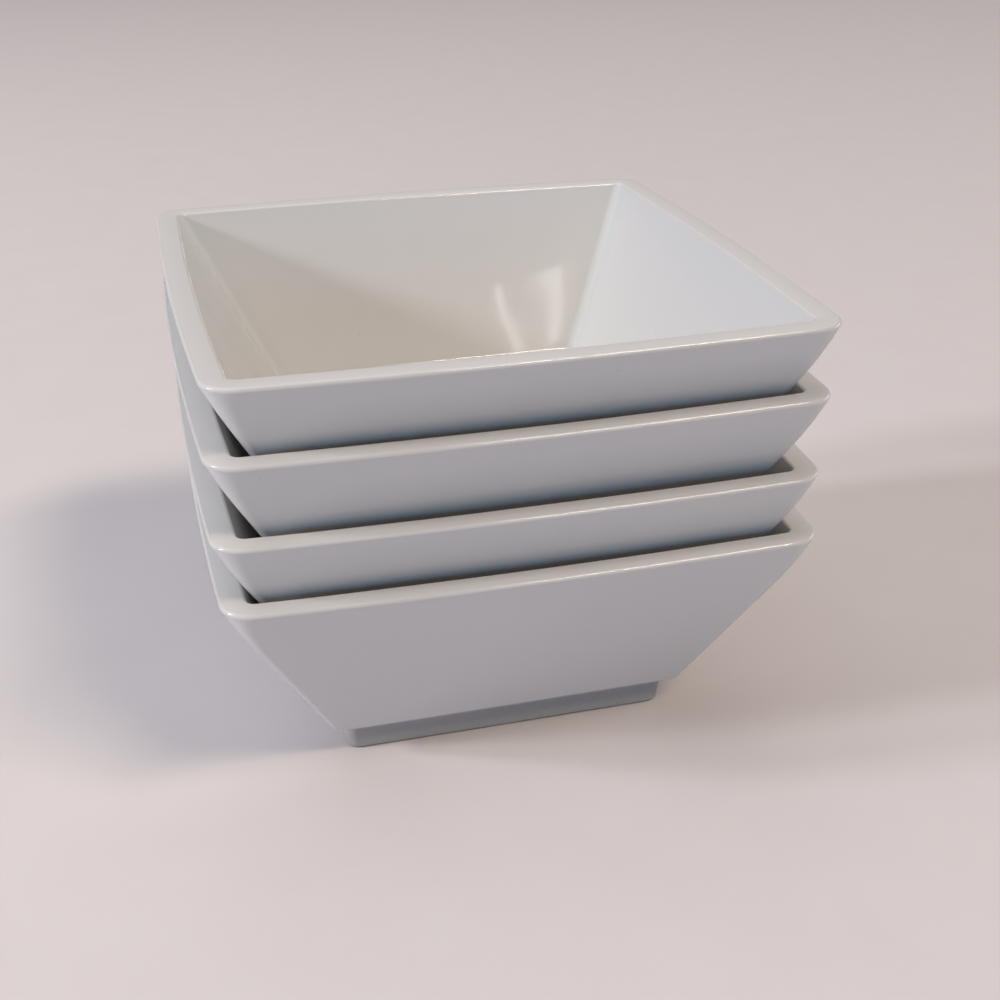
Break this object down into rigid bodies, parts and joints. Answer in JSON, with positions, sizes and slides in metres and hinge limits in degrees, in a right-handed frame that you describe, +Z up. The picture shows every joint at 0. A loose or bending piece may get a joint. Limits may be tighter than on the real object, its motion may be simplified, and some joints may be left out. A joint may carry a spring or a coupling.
{
  "type": "stack of soy sauce dishes",
  "caption": "Nested stack of square, tapered white porcelain soy sauce dishes with rounded rims and a recessed square foot; each dish lifts straight up out of the one below.",
  "frame": {"origin": "on the table, under the middle of the stack, in the plane of the bottom dish's foot", "axes": "+Z up, the way the dishes lift; +X along the front side of the bottom dish to the right; +Y away from the front side"},
  "size_m": [0.093, 0.0936, 0.0723],
  "materials": {
    "glazed_porcelain": "clear gloss glaze over white porcelain, bare clay on the foot's edge"
  },
  "bodies": {
    "bottom_dish": {"bottom_dish": "glazed_porcelain"},
    "second_dish": {"second_dish": "glazed_porcelain"},
    "third_dish": {"third_dish": "glazed_porcelain"},
    "top_dish": {"top_dish": "glazed_porcelain"}
  },
  "joints": [
    {"name": "second_dish_lift", "type": "slide", "parent": "bottom_dish", "child": "second_dish", "axis": [0, 0, 1], "range_m": [0, 0.035]},
    {"name": "third_dish_lift", "type": "slide", "parent": "second_dish", "child": "third_dish", "axis": [0, 0, 1], "range_m": [0, 0.035]},
    {"name": "top_dish_lift", "type": "slide", "parent": "third_dish", "child": "top_dish", "axis": [0, 0, 1], "range_m": [0, 0.035]}
  ]
}
